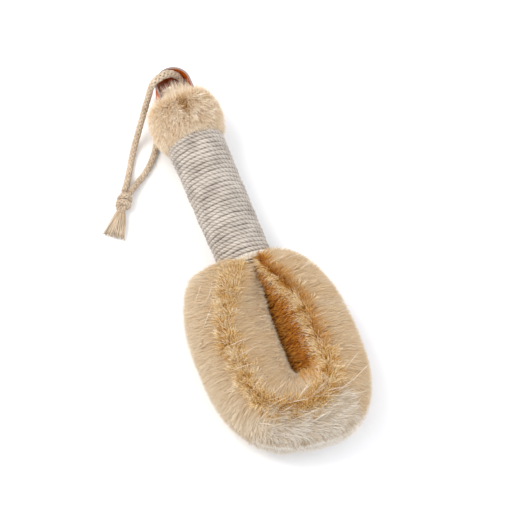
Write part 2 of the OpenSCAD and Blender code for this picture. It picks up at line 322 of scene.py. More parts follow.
# Drawn metal with dull stains; stainSize is in mm
def metal(name, colour, dark, roughness, stainSize):
    material, tree, shader = newMaterial(name)
    where = addNode(tree, "ShaderNodeTexCoord")
    stain = addNode(tree, "ShaderNodeTexNoise", {
        "Vector": where.outputs["Object"], "Scale": 1 / (stainSize * mm), "Detail": 4.0, "Roughness": 0.6})
    spread = addNode(tree, "ShaderNodeMapRange", {
        "Value": stain.outputs["Fac"], "From Min": 0.3, "From Max": 0.7, "To Min": 0.0, "To Max": 1.0})
    blend = addNode(tree, "ShaderNodeMix", {
        "Factor": spread.outputs["Result"], "A": toLinear(colour), "B": toLinear(dark)}, data_type="RGBA")
    rough = addNode(tree, "ShaderNodeMapRange", {
        "Value": stain.outputs["Fac"], "From Min": 0.3, "From Max": 0.7,
        "To Min": roughness - 0.06, "To Max": roughness + 0.1})
    fill(tree, shader, {
        "Base Color": blend.outputs["Result"], "Roughness": rough.outputs["Result"], "Metallic": 1.0})
    return material


headMat = sisalMat("sisalCombedMat")
fineSisal = sisalFibre("sisalCombedFibre", 0.14)
# Crest: cut tufts that show their golden inner length
tuftSisal = sisalFibre("sisalTuftFibre", 0.4, stops=[
    (0.0, "#b0620a"), (0.25, "#c07a14"), (0.42, "#d49c3c"), (0.6, "#e6c070"), (0.8, "#f3deb0"),
    (1.0, "#fff7e6")])
# Slit: deep golden brown; its darkest tones carry the painted shade in the trench
wallSisal = sisalFibre("sisalSlitFibre", 0.3, stops=[
    (0.0, "#8e4404"), (0.25, "#b8640a"), (0.45, "#cf8a2c"), (0.65, "#e2b468"), (1.0, "#f6e6c4")])
# Toe: greyer fibre, brushed sideways
toeSisal = sisalFibre("sisalToeFibre", 0.12, stops=[
    (0.0, "#80603a"), (0.3, "#ab906a"), (0.55, "#cfbda2"), (0.8, "#e6dccd"), (1.0, "#faf5ee")])
# Collar: the same fibre, older and greyer
collarSisal = sisalFibre("sisalCollarFibre", 0.36, stops=[
    (0.0, "#93601f"), (0.3, "#cba26a"), (0.55, "#e6cfad"), (0.8, "#f4e6d0"), (1.0, "#fdf8f0")])
# The wrap is greyer and has the darkest painted shade in its grooves, the hanging cord is creamier, and its
# loose ends are the palest
wrapCotton = spunCotton("cottonThreePlyCord", "#d7cdc1", "#6f6358", 0.35)
cordCotton = spunCotton("cottonBraidedCord", "#dccbb4", "#94795a", 0.4)
tasselCotton = spunCotton("cottonLooseYarn", "#e0d0b9", "#a88d6c", 0.5)


# Copper strip under matt lacquer: deep orange without gloss, with a painted grey sheen along its edges
def bentCopper():
    material = metal("copperLacqueredStrip", "#d8660c", "#b04e05", 0.6, 4.0)
    tree = material.node_tree
    shader = tree.nodes["Principled BSDF"]
    where = addNode(tree, "ShaderNodeTexCoord")
    split = addNode(tree, "ShaderNodeSeparateXYZ", {0: where.outputs["Object"]})
    middle = (eyeLow.z + eyeHigh.z) / 2
    offset = addNode(tree, "ShaderNodeMath", {0: split.outputs["Z"], 1: middle}, operation="SUBTRACT")
    height = addNode(tree, "ShaderNodeMath", {0: offset.outputs["Value"]}, operation="ABSOLUTE")
    half = (eyeHigh.z - eyeLow.z) / 2
    # a thin grey band along both edges of the strip: painted sheen
    edge = addNode(tree, "ShaderNodeMapRange", {
        "Value": height.outputs["Value"], "From Min": half - 0.5 * mm, "From Max": half - 0.2 * mm,
        "To Min": 0.0, "To Max": 1.0})
    body = shader.inputs["Base Color"].links[0].from_socket
    blend = addNode(tree, "ShaderNodeMix", {
        "Factor": edge.outputs["Result"], "A": body, "B": toLinear("#94827a")}, data_type="RGBA")
    fill(tree, shader, {
        "Base Color": blend.outputs["Result"], "Metallic": 0.0, "Specular IOR Level": 0.04})
    return material


# The CAD nodes that stay: metal inside, the eye, and the fibre pressed under the wrap
def dressNodes():
    wire = metal("steelGalvanisedWire", "#b9b6ae", "#8d8a83", 0.38, 2.0)  # dull grey zinc
    copper = bentCopper()
    for name, material in {
            "wire_strand_a": wire, "wire_strand_b": wire, "neck_binding": wire, "collar_binding": wire,
            "eye_strip": copper, "grip_bristles_left": headMat, "grip_bristles_right": headMat}.items():
        mesh = nodes[name].data
        mesh.materials.clear()
        mesh.materials.append(material)


dressNodes()
print("materials ready")


# Hanging cord, knot and tassel

cordShape = {
    "diameter": 3.6, "strands": 4, "strandRadius": 0.76, "lay": 12.0, "ringEvery": 0.9, "sides": 5,
    "loose": 0.4,  # the braid is that much wider than the cord pulled tight
    "wornAt": 86.0, "wornLength": 9.0, "wornWider": 1.0,  # from the knot, along the cord
    "knotAt": (-52.0, -50.0, 5.0), "knotAlong": (0.6, 0.8, 0.0), "knotAcross": (-0.8, 0.6, 0.0),
    "knotLength": 14.0, "strandGap": 1.9,
}
# The way the cord lies, measured from the eye's middle, heights above the floor
cordRoute = [
    (-45.5, -38, 3.6), (-42, -32, 2.2), (-38.5, -26, 1.9), (-35, -20.5, 2.2), (-31.5, -15.5, 4),
    (-28, -11.5, 7.5), (-24.5, -7.5, 12), (-21, -4, 17.5), (-18, -1, 23), (-15.5, 1, 29),
    (-13.4, 2.6, 34.4), (-10, 4.4, 37.6), (-4.5, 6.2, 37.2), (0.5, 7, 34.4), (4.5, 6, 30.5),
    (6.7, 4, 25.5), (7.3, 2.5, 20), (7.2, 1.5, 14), (5.5, 1, 8), (2, 0.5, 3.6),
    (-3, -0.5, 1.9), (-8.5, -3, 1.9), (-13, -7.5, 1.9), (-16.5, -13.5, 1.9),
    (-19.5, -20, 1.9), (-23.5, -26.2, 1.9), (-28, -31.5, 1.9), (-33.5, -36.2, 2.1), (-39, -40, 3),
]


# A smooth line through the points, with a place every step mm
def smoothLine(points, step):
    p = np.asarray(points, float)
    p = np.vstack([2 * p[0] - p[1], p, 2 * p[-1] - p[-2]])
    line = []
    for i in range(1, len(p) - 2):
        for t in np.linspace(0, 1, 12, endpoint=False):
            line.append(0.5 * (2 * p[i] + (p[i + 1] - p[i - 1]) * t
                + (2 * p[i - 1] - 5 * p[i] + 4 * p[i + 1] - p[i + 2]) * t ** 2
                + (3 * p[i] - p[i - 1] - 3 * p[i + 1] + p[i + 2]) * t ** 3))
    line = np.array(line + [p[-2]])
    run = np.concatenate([[0], np.cumsum(np.linalg.norm(np.diff(line, axis=0), axis=1))])
    spots = np.linspace(0, run[-1], max(2, int(round(run[-1] / step)) + 1))
    return np.stack([np.interp(spots, run, line[:, k]) for k in range(3)], 1), spots


# Two directions across the line at each of its points, carried along without twist
def carriedFrame(line):
    ahead = unit(np.gradient(line, axis=0))
    side = np.zeros_like(line)
    first = np.cross(ahead[0], [0, 0, 1.0])
    side[0] = unit(first if np.linalg.norm(first) > 0.1 else np.cross(ahead[0], [1.0, 0, 0]))
    for i in range(1, len(line)):
        side[i] = unit(side[i - 1] - ahead[i] * np.dot(side[i - 1], ahead[i]))
    return side, np.cross(ahead, side)


# A round tube along a line; radius and the groove shade may change along it
def tube(line, radius, sides, points, faces, shades, shade):
    side, over = carriedFrame(line)
    radius = np.broadcast_to(radius, len(line))
    shade = np.broadcast_to(shade, len(line))
    base = len(points)
    turns = np.linspace(0, 2 * math.pi, sides, endpoint=False)
    for i in range(len(line)):
        for a in turns:
            points.append(line[i] + radius[i] * (math.cos(a) * side[i] + math.sin(a) * over[i]))
            shades.append(shade[i])
    for i in range(len(line) - 1):
        for k in range(sides):
            a, b = base + i * sides + k, base + i * sides + (k + 1) % sides
            faces.append((a, a + sides, b + sides, b))
    faces.append(tuple(base + k for k in range(sides)))
    faces.append(tuple(base + (len(line) - 1) * sides + k for k in reversed(range(sides))))


# Eight strands that pass over and under each other round one line, half of them each way
def braid(line, spots, width, strandRadius, lay, points, faces, shades):
    side, over = carriedFrame(line)
    width = np.broadcast_to(width, len(line))
    count = cordShape["strands"]
    for way in (-1, 1):
        for k in range(count):
            start = 2 * math.pi * k / count + (math.pi / count if way > 0 else 0)
            turn = way * 2 * math.pi * spots / lay + start
            beat = np.sin(2 * count * math.pi * spots / lay + math.pi * k)
            out = (width / 2 - strandRadius) * (1 + 0.16 * way * beat)
            path = line + out[:, None] * (np.cos(turn)[:, None] * side + np.sin(turn)[:, None] * over)
            # a strand is painted darker where it passes under the others: painted shade
            tube(path, strandRadius, cordShape["sides"], points, faces, shades, 0.24 - 0.2 * way * beat)


# A place in the knot: up, across and along it
def knotPoint(x, y, z):
    s = cordShape
    along, across = np.array(s["knotAlong"]), np.array(s["knotAcross"])
    return np.array(s["knotAt"]) + z * along + y * across + np.array([0, 0, x])


def cottonObject(name, points, faces, shades, material):
    thing = meshObject(name, fromEye(points), faces)
    setAttribute(thing, "groove", "FLOAT", shades)
    thing.data.materials.append(material)
    thing.data.shade_smooth()
    return thing


def makeCord():
    s = cordShape
    front = knotPoint(0, s["strandGap"], s["knotLength"] / 2)
    back = knotPoint(0, -s["strandGap"], s["knotLength"] / 2)
    route = [front, *cordRoute, back]
    line, spots = smoothLine(route, s["ringEvery"])
    points, faces, shades = [], [], []
    # it flattens and frays a little where it bears on the eye
    width = s["diameter"] + s["loose"] + s["wornWider"] * bell(spots, s["wornAt"], s["wornLength"])
    braid(line, spots, width, s["strandRadius"], s["lay"], points, faces, shades)
    points = np.maximum(points, [-999, -999, 0.05])  # it rests on the floor
    cord = cottonObject("hangingCord", points, faces, shades, cordCotton)
    return cord, fromEye(line), spots[-1]


knotShape = {
    "turns": 2.4, "steps": 120, "ring": 1.0, "bulge": 2.1, "lean": 1.5, "lay": 10.0,
    "width": 3.5, "strandRadius": 0.62, "throughWidth": 3.2, "throughRadius": 0.58,
    # how far apart the cord's two parts lie inside, and where along the knot
    "through": [(1.0, 7.2), (0.95, 6.0), (0.75, 4), (0.55, 1), (0.5, -2), (0.5, -5), (0.45, -7.2)],
}


def makeKnot():
    s, k = cordShape, knotShape
    t = np.linspace(0, 1, k["steps"])
    ends = np.minimum(smooth(0, 0.14, t), smooth(0, 0.14, 1 - t))
    ring = k["ring"] + k["bulge"] * ends
    angle = 2 * math.pi * k["turns"] * t + 0.6
    lean = k["lean"] * np.cos(angle)  # the turns lie aslant, as an overhand knot's do
    z = s["knotLength"] * (0.36 - 0.66 * t) + lean
    line = np.array([knotPoint(r * math.cos(a), r * math.sin(a), c) for r, a, c in zip(ring, angle, z)])
    run = np.concatenate([[0], np.cumsum(np.linalg.norm(np.diff(line, axis=0), axis=1))])
    points, faces, shades = [], [], []
    braid(line, run, k["width"], k["strandRadius"], k["lay"], points, faces, shades)
    for sign in (-1, 1):  # the two parts of the cord that go through the knot
        path = np.array([knotPoint(0, sign * s["strandGap"] * w, c) for w, c in k["through"]])
        through, spots = smoothLine(path, s["ringEvery"])
        braid(through, spots, k["throughWidth"], k["throughRadius"], k["lay"], points, faces, shades)
    return cottonObject("cordKnot", points, faces, shades, cordCotton)


tasselShape = {
    "bundles": 7, "yarns": 18, "yarnRadius": 0.36, "taper": (1.15, 0.6), "sides": 4, "seed": 5,
    "length": 16.5, "width": 13.6, "startWidth": 3.2, "thick": 3.0, "drop": 2.1, "inKnot": 0.8,
}


def makeTassel():
    y = tasselShape
    rng = np.random.default_rng(y["seed"])
    points, faces, shades = [], [], []
    start = -cordShape["knotLength"] / 2 + y["inKnot"]
    half, neck = y["width"] / 2 - 0.6, y["startWidth"] / 2
    for b in range(y["bundles"]):
        spread = (b + 0.5) / y["bundles"] * 2 - 1
        for n in range(y["yarns"]):
            length = y["length"] * (0.9 + 0.14 * rng.random() - 0.1 * (b % 2))
            off, lift = rng.normal(0, 0.55), rng.random()
            wave, phase = rng.normal(0, 0.35), rng.random() * 6.28
            line = []
            for t in np.linspace(0, 1, 7):
                wide = t ** 0.75
                across = spread * (neck + (half - neck) * wide) + off * (0.5 + wide)
                across = across + wave * math.sin(4 * t + phase)
                down = (lift - 0.5) * y["thick"] * (0.5 + 0.5 * t) - t * y["drop"]
                line.append(knotPoint(down, across, start - length * t))
            line = np.array(line)
            line[:, 2] = np.maximum(line[:, 2], 0.45)  # it rests on the floor
            radius = y["yarnRadius"] * np.linspace(*y["taper"], len(line))
            tube(line, radius, y["sides"], points, faces, shades, 0.1 + 0.5 * rng.random())
    return cottonObject("cordTassel", points, faces, shades, tasselCotton)


cord, cordPath, cordLength = makeCord()
knot = makeKnot()
tassel = makeTassel()
finished(cord, ["hanging_cord"])
finished(knot, ["cord_knot"])
finished(tassel, ["cord_tassel"])
print("cord ready", round(cordLength, 1), "mm")


# Cotton wrap: one three-ply cord wound round the grip

wrapShape = {
    "turns": 29, "cord": 3.1, "headDiameter": 33.0, "collarDiameter": 35.4,
    "plyDepth": 0.2, "plyLay": 8.0, "stepsPerTurn": 96, "wander": 1.5, "wanderSize": 7.0,
}


def wrapTree():
    s = wrapShape
    tree, given = newTree("plyCordWinding", {
        "Geometry": ["Geometry"], "Int": ["Steps"], "Material": ["Material"],
        "Float": [
            "Start radius", "End radius", "Height", "Turns", "Cord radius", "Ply depth", "Twist per metre"]})
    spiral = addNode(tree, "GeometryNodeCurveSpiral", {
        "Resolution": given["Steps"], "Rotations": given["Turns"], "Start Radius": given["Start radius"],
        "End Radius": given["End radius"], "Height": given["Height"]})
    # the cord is a little uneven, as a hand winding is
    here = addNode(tree, "GeometryNodeInputPosition")
    wander = addNode(tree, "ShaderNodeTexNoise", {
        "Vector": here.outputs[0], "Scale": 1 / (s["wanderSize"] * mm), "Detail": 1.0})
    centred = addNode(tree, "ShaderNodeVectorMath", {
        0: wander.outputs["Color"], 1: (0.5, 0.5, 0.5)}, operation="SUBTRACT")
    small = addNode(tree, "ShaderNodeVectorMath", {
        0: centred.outputs[0], "Scale": s["wander"] * mm}, operation="SCALE")
    moved = addNode(tree, "GeometryNodeSetPosition", {
        "Geometry": spiral.outputs["Curve"], "Offset": small.outputs[0]})
    run = addNode(tree, "GeometryNodeSplineParameter")
    angle = addNode(tree, "ShaderNodeMath", {
        0: run.outputs["Length"], 1: given["Twist per metre"]}, operation="MULTIPLY")
    tilted = addNode(tree, "GeometryNodeSetCurveTilt", {
        "Curve": moved.outputs["Geometry"], "Tilt": angle.outputs["Value"]})
    ring = addNode(tree, "GeometryNodeCurvePrimitiveCircle", {
        "Resolution": 18, "Radius": given["Cord radius"]})
    # three lobes: the plies
    spot = addNode(tree, "GeometryNodeInputPosition")
    split = addNode(tree, "ShaderNodeSeparateXYZ", {0: spot.outputs[0]})
    turn = addNode(tree, "ShaderNodeMath", {
        0: split.outputs["Y"], 1: split.outputs["X"]}, operation="ARCTAN2")
    three = addNode(tree, "ShaderNodeMath", {0: turn.outputs["Value"], 1: 1.5}, operation="MULTIPLY")
    wave = addNode(tree, "ShaderNodeMath", {0: three.outputs["Value"]}, operation="SINE")
    lobe = addNode(tree, "ShaderNodeMath", {0: wave.outputs["Value"]}, operation="ABSOLUTE")
    depth = addNode(tree, "ShaderNodeMath", {
        0: lobe.outputs["Value"], 1: given["Ply depth"]}, operation="MULTIPLY")
    base = addNode(tree, "ShaderNodeMath", {0: 1.06, 1: given["Ply depth"]}, operation="SUBTRACT")
    factor = addNode(tree, "ShaderNodeMath", {
        0: depth.outputs["Value"], 1: base.outputs["Value"]}, operation="ADD")
    scaled = addNode(tree, "ShaderNodeVectorMath", {
        0: spot.outputs[0], "Scale": factor.outputs["Value"]}, operation="SCALE")
    shaped = addNode(tree, "GeometryNodeSetPosition", {
        "Geometry": ring.outputs["Curve"], "Position": scaled.outputs[0]})
    # the valleys between the plies are painted darker: painted shade
    valley = addNode(tree, "ShaderNodeMapRange", {
        "Value": lobe.outputs["Value"], "From Min": 0.0, "From Max": 0.7, "To Min": 0.55, "To Max": 0.0})
    kept = addNode(tree, "GeometryNodeStoreNamedAttribute", {
        "Geometry": shaped.outputs["Geometry"], "Name": "groove", "Value": valley.outputs["Result"]},
        data_type="FLOAT", domain="POINT")
    swept = addNode(tree, "GeometryNodeCurveToMesh", {
        "Curve": tilted.outputs["Curve"], "Profile Curve": kept.outputs["Geometry"], "Fill Caps": True})
    whole = addNode(tree, "GeometryNodeRealizeInstances", {"Geometry": swept.outputs["Mesh"]})
    painted = addNode(tree, "GeometryNodeSetMaterial", {
        "Geometry": whole.outputs["Geometry"], "Material": given["Material"]})
    addNode(tree, "NodeGroupOutput", {0: painted.outputs["Geometry"]})
    return tree


def makeWrap():
    s = wrapShape
    radius = s["cord"] / 2
    carrier = meshObject("wrapCarrier", [(0, 0, 0)], [])
    wrap = grown(carrier, wrapTree(), {
        "Start radius": (s["headDiameter"] / 2 - radius) * mm,
        "End radius": (s["collarDiameter"] / 2 - radius) * mm,
        "Height": (wrapTop - neckY - s["cord"]) * mm, "Turns": float(s["turns"]), "Cord radius": radius * mm,
        "Ply depth": s["plyDepth"], "Twist per metre": 2 * math.pi / (s["plyLay"] * mm),
        "Steps": s["stepsPerTurn"], "Material": wrapCotton,
    }, "cottonWrap")
    co = np.zeros(len(wrap.data.vertices) * 3)
    wrap.data.vertices.foreach_get("co", co)
    co = co.reshape(-1, 3)
    turned = np.stack([co[:, 0], co[:, 2], -co[:, 1]], 1) / mm + [0, neckY + radius, 0]
    wrap.data.vertices.foreach_set("co", place(turned).ravel())
    wrap.data.shade_smooth()
    wrap.data.update()
    return finished(wrap, ["cotton_wrap"])


wrap = makeWrap()
print("wrap ready", len(wrap.data.polygons), "faces")


# Fibres: a shared tree grows them on a carrier that says which way they lie

# One fibre stands on z from 0 to 1, one unit thick at the root, with its tip bent aside
def fibreMesh(name, rings):
    sides, taper, bend = 3, 0.45, 3.2
    points, faces, along = [], [], []
    for t in rings:
        for k in range(sides):
            a = 2 * math.pi * k / sides
            r = 0.5 * (1 - taper * t)
            points.append((r * math.cos(a) + bend * t * t, r * math.sin(a), t))
            along.append(t)
    points.append((bend, 0, 1.0))
    along.append(1.0)
    faces += gridFaces(len(rings), sides, closed=True)
    last = (len(rings) - 1) * sides
    for k in range(sides):
        faces.append((last + k, last + (k + 1) % sides, len(points) - 1))
    faces.append(tuple(reversed(range(sides))))
    fibre = meshObject(name, points, faces)
    setAttribute(fibre, "along", "FLOAT", along)
    return fibre


tuftShape = {
    "fibres": 7, "spread": 0.66, "thickness": 0.075, "across": 1.3, "alongRow": 0.55, "bend": 0.08, "seed": 4,
}


# A tuft of a few fibres that spread from one root in a V; its length is 1 in every direction
def tuftMesh(name):
    s = tuftShape
    rng = np.random.default_rng(s["seed"])
    points, faces, along = [], [], []
    for n in range(s["fibres"]):
        turn = 2.4 * n
        tilt = s["spread"] * (0.35 + 0.65 * (n + 0.5) / s["fibres"])
        way = unit(np.array([
            math.cos(turn) * math.sin(tilt) * s["across"], math.sin(turn) * math.sin(tilt) * s["alongRow"],
            math.cos(tilt)]))
        way = way * (0.8 + 0.3 * rng.random())
        side = unit(np.cross(way, [0.3, 1.0, 0.1]))
        over = unit(np.cross(way, side))
        base = len(points)
        for t, width in ((0.0, 0.6), (0.5, 0.55)):
            for k in range(3):
                a = 2 * math.pi * k / 3
                ring = s["thickness"] * width * (math.cos(a) * side + math.sin(a) * over)
                points.append(way * t + ring + side * s["bend"] * t * t)
                along.append(t)
        points.append(way + side * 0.1)
        along.append(1.0)
        for k in range(3):
            a, b = base + k, base + (k + 1) % 3
            faces.append((a, a + 3, b + 3, b))
            faces.append((base + 3 + k, base + 6, base + 3 + (k + 1) % 3))
    tuft = meshObject(name, points, faces)
    setAttribute(tuft, "along", "FLOAT", along)
    return tuft


def fibreTree():
    tree, given = newTree("combedFibres", {
        "Geometry": ["Geometry"], "Object": ["Fibre"],
        "Float": ["Density", "Thickness", "Even scale", "Wildness", "Tuft size", "Tuft lean", "Tone spread"],
        "Int": ["Seed"], "Material": ["Material"]})
    crowd = addNode(tree, "GeometryNodeInputNamedAttribute", {"Name": "crowd"}, data_type="FLOAT")
    comb = addNode(tree, "GeometryNodeInputNamedAttribute", {"Name": "comb"}, data_type="FLOAT_VECTOR")
    reach = addNode(tree, "GeometryNodeInputNamedAttribute", {"Name": "reach"}, data_type="FLOAT")
    tone = addNode(tree, "GeometryNodeInputNamedAttribute", {"Name": "tone"}, data_type="FLOAT")
    dense = addNode(tree, "ShaderNodeMath", {
        0: crowd.outputs["Attribute"], 1: given["Density"]}, operation="MULTIPLY")
    roots = addNode(tree, "GeometryNodeDistributePointsOnFaces", {
        "Mesh": given["Geometry"], "Density": dense.outputs["Value"], "Seed": given["Seed"]})
    # tufts lean together: one slow noise field moves all fibres of a tuft the same way
    where = addNode(tree, "GeometryNodeInputPosition")
    cell = addNode(tree, "ShaderNodeMath", {0: 1.0, 1: given["Tuft size"]}, operation="DIVIDE")
    field = addNode(tree, "ShaderNodeTexNoise", {
        "Vector": where.outputs[0], "Scale": cell.outputs["Value"], "Detail": 1.0})
    centred = addNode(tree, "ShaderNodeVectorMath", {
        0: field.outputs["Color"], 1: (0.5, 0.5, 0.5)}, operation="SUBTRACT")
    lean = addNode(tree, "ShaderNodeVectorMath", {
        0: centred.outputs[0], "Scale": given["Tuft lean"]}, operation="SCALE")
    stray = addNode(tree, "FunctionNodeRandomValue", {
        0: (-1.0, -1.0, -1.0), 1: (1.0, 1.0, 1.0), "Seed": given["Seed"]}, data_type="FLOAT_VECTOR")
    wild = addNode(tree, "ShaderNodeVectorMath", {
        0: stray.outputs[0], "Scale": given["Wildness"]}, operation="SCALE")
    first = addNode(tree, "ShaderNodeVectorMath", {
        0: comb.outputs["Attribute"], 1: lean.outputs[0]}, operation="ADD")
    way = addNode(tree, "ShaderNodeVectorMath", {0: first.outputs[0], 1: wild.outputs[0]}, operation="ADD")
    stand = addNode(tree, "FunctionNodeAlignRotationToVector", {"Vector": way.outputs[0]}, axis="Z")
    spin = addNode(tree, "FunctionNodeRandomValue", {
        2: 0.0, 3: 2 * math.pi, "Seed": given["Seed"]}, data_type="FLOAT")
    about = addNode(tree, "FunctionNodeAxisAngleToRotation", {"Axis": (0, 0, 1), "Angle": spin.outputs[1]})
    turned = addNode(tree, "FunctionNodeRotateRotation", {
        "Rotation": stand.outputs[0], "Rotate By": about.outputs[0]}, rotation_space="LOCAL")
    longer = addNode(tree, "FunctionNodeRandomValue", {
        2: 0.7, 3: 1.12, "Seed": given["Seed"]}, data_type="FLOAT")
    length = addNode(tree, "ShaderNodeMath", {
        0: reach.outputs["Attribute"], 1: longer.outputs[1]}, operation="MULTIPLY")
    across = addNode(tree, "ShaderNodeMix", {
        "Factor": given["Even scale"], "A": given["Thickness"], "B": length.outputs["Value"]})
    size = addNode(tree, "ShaderNodeCombineXYZ", {
        "X": across.outputs["Result"], "Y": across.outputs["Result"], "Z": length.outputs["Value"]})
    shade = addNode(tree, "FunctionNodeRandomValue", {
        2: -1.0, 3: 1.0, "Seed": given["Seed"]}, data_type="FLOAT")
    vary = addNode(tree, "ShaderNodeMath", {
        0: shade.outputs[1], 1: given["Tone spread"]}, operation="MULTIPLY")
    mixed = addNode(tree, "ShaderNodeMath", {
        0: tone.outputs["Attribute"], 1: vary.outputs["Value"]}, operation="ADD")
    tinted = addNode(tree, "GeometryNodeStoreNamedAttribute", {
        "Geometry": roots.outputs["Points"], "Name": "tone", "Value": mixed.outputs["Value"]},
        data_type="FLOAT", domain="POINT")
    fibre = addNode(tree, "GeometryNodeObjectInfo", {"Object": given["Fibre"]})
    planted = addNode(tree, "GeometryNodeInstanceOnPoints", {
        "Points": tinted.outputs["Geometry"], "Instance": fibre.outputs["Geometry"],
        "Rotation": turned.outputs[0], "Scale": size.outputs["Vector"]})
    whole = addNode(tree, "GeometryNodeRealizeInstances", {"Geometry": planted.outputs["Instances"]})
    painted = addNode(tree, "GeometryNodeSetMaterial", {
        "Geometry": whole.outputs["Geometry"], "Material": given["Material"]})
    addNode(tree, "NodeGroupOutput", {0: painted.outputs["Geometry"]})
    return tree


combedFibres = fibreTree()
fineFibre = fibreMesh("fineFibre", [0.0, 0.5])
longFibre = fibreMesh("longFibre", [0.0, 0.35, 0.7])
crestTuft = tuftMesh("crestTuft")


# Grows look["count"] fibres on a grid of places: crowd says where they stand closer, comb which way they
# lie, reach how long they are in mm, and look["limit"] how far up the handle they may lie
def growFibres(name, grid, look, fibre=fineFibre, material=fineSisal):
    points = grid["points"]
    shape = points.shape[:2]
    crowd, reach, tone = (np.broadcast_to(grid[key], shape) for key in ("crowd", "reach", "tone"))
    room = points[..., 2] - headShape["floor"] - 0.4
    comb = np.array(np.broadcast_to(grid["comb"], points.shape))
    comb[..., 2] = np.maximum(comb[..., 2], -room / reach)
    share = crowd.ravel()
    faces = [f for f in gridFaces(*shape) if share[list(f)].max() > 0.01]
    carrier = meshObject(name + "Carrier", place(points.reshape(-1, 3)), faces)
    setAttribute(carrier, "crowd", "FLOAT", crowd)
    setAttribute(carrier, "comb", "FLOAT_VECTOR", comb)
    setAttribute(carrier, "reach", "FLOAT", reach * mm)
    setAttribute(carrier, "tone", "FLOAT", tone)
    weight = sum(p.area * share[list(p.vertices)].mean() for p in carrier.data.polygons)
    piece = grown(carrier, combedFibres, {
        "Fibre": fibre, "Density": look["count"] / weight, "Thickness": look["thickness"] * mm,
        "Even scale": look.get("evenScale", 0.0), "Wildness": look["wildness"],
        "Tuft size": look["tuftSize"] * mm, "Tuft lean": look["tuftLean"],
        "Tone spread": look["toneSpread"], "Seed": look["seed"], "Material": material}, name)
    # fibres that reach the floor or the wrap bend along it
    co = np.zeros(len(piece.data.vertices) * 3)
    piece.data.vertices.foreach_get("co", co)
    co[2::3] = np.maximum(co[2::3], 0.1 * mm)
    if "limit" in look:
        limit = (middleY + look["limit"]) * mm
        co[1::3] = np.where(co[1::3] > limit, limit + 0.25 * (co[1::3] - limit), co[1::3])
    piece.data.vertices.foreach_set("co", co)
    piece.data.update()
    print(name, len(piece.data.polygons), "faces")
    return finished(piece)


# Head: fibres held by a looped wire, so every section through the wire is a fan of fibres

headShape = {
    "halfWidth": 48.5, "halfLength": 64.25, "squareness": 2.7, "skew": 0.1, "offset": -4.5,
    "slit": 1.5, "slitWidth": 1.0, "legSpan": 48.0, "toeFibre": 23.0, "fibreLean": 0.85,
    "neckHalf": 17.7, "legGap": 13.0, "flare": 42.0, "halfThick": 24.0, "swell": 18.0, "floor": -22.0,
    "matInset": 3.2,  # how far the mat lies under the fibre tips
    "trim": 2.3, "toeTrim": 0.6,  # the left side and the toe are brushed in a little
    "shoulder": (2.8, 0.1, 0.1), "corner": (0.9, 2.0, 0.2),  # and out there: mm, place, length along the loop
    "toeOpening": 6.0, "lipShift": (-2.0, 3.6), "neckRoom": 0.5,  # the left lip: neck end, toe end
    "rows": 34, "toeRows": 48, "columns": 73,
}


def headRows():
    h = headShape
    loopY = h["toeFibre"] + h["legSpan"] / 2 - h["halfLength"]
    power = 2 / h["squareness"]

    def signed(v, k):
        return math.copysign(abs(v) ** k, v)

    def edge(side, phi):
        x = h["offset"] + side * h["halfWidth"] * signed(math.sin(phi), power)
        y = h["halfLength"] * signed(math.cos(phi), power)
        return x, y

    def slope(x, y):
        return y - h["skew"] * (x - h["offset"]) * abs(y) / h["halfLength"]

    def wireX(side, y):
        into = max(0, y - neckY + h["flare"]) / h["flare"]
        mix = (1 + math.cos(math.pi * into)) / 2
        return side * h["legGap"] / 2 * (1 - mix) + (h["offset"] + side * h["legSpan"] / 2) * mix

    def thick(y):
        rise = max(0.0, min(1.0, (neckY - y) / h["swell"])) ** 0.5
        return h["neckHalf"] + (h["halfThick"] - h["neckHalf"]) * rise

    level = math.acos(signed(loopY / h["halfLength"], 1 / power))
    found = {"edge": [], "wire": [], "slit": [], "half": [], "loop": []}

    def add(edgeAt, wireAt, slitAt, half, loop):
        for key, value in zip(found, (edgeAt, wireAt, slitAt, half, loop)):
            found[key].append(value)

    def leg(side):
        first = math.asin(((h["neckHalf"] - side * h["offset"]) / h["halfWidth"]) ** (1 / power))
        slitX = h["slit"] + side * h["slitWidth"] / 2
        rows = [((side * h["neckHalf"], neckY), (side * h["legGap"] / 2, neckY), (slitX, neckY),
            h["neckHalf"], 0.0)]
        for i in range(h["rows"]):
            phi = first + (level - first) * i / h["rows"]
            x, y = edge(side, phi)
            wireY = y * h["fibreLean"] if y > 0 else y
            rows.append(((x, slope(x, y)), (wireX(side, wireY), wireY), (slitX, wireY),
                thick(wireY), (i + 1) / (h["rows"] + 1)))
        return rows

    for row in leg(-1):
        add(*row)
    for i in range(h["toeRows"] + 1):
        turn = math.pi * i / h["toeRows"]
        side = -1 if turn < math.pi / 2 else 1
        part = turn / (math.pi / 2) if side < 0 else (math.pi - turn) / (math.pi / 2)
        x, y = edge(side, level + part * (math.pi - level))
        across, down = -math.cos(turn), -math.sin(turn)
        add((x, slope(x, y)),
            (h["offset"] + h["legSpan"] / 2 * across, loopY + h["legSpan"] / 2 * down),
            (h["slit"] + h["slitWidth"] / 2 * across, loopY + h["slitWidth"] / 2 * down),
            h["halfThick"], 1 + i / h["toeRows"])
    for row in reversed(leg(1)):
        add(*row[:4], 3 - row[4])
    return {key: np.array(value, float) for key, value in found.items()}


rowsOfHead = headRows()
loop = rowsOfHead["loop"]  # 0 to 1 down the left leg, 1 to 2 round the toe, 2 to 3 up the right leg
row = loop[:, None]  # the same beside a grid's columns
trenchShare = smooth(1.62, 1.95, loop)  # the right side of the slit falls away steeply

# Heights of the slit's right wall, from the crest to the bottom, as a share of the half thickness
trenchPlan = [0.0, 0.12, 0.3, 0.5, 0.72, 0.9, 1.0]
trenchHeight = [1.0, 0.94, 0.76, 0.5, 0.26, 0.1, 0.02]


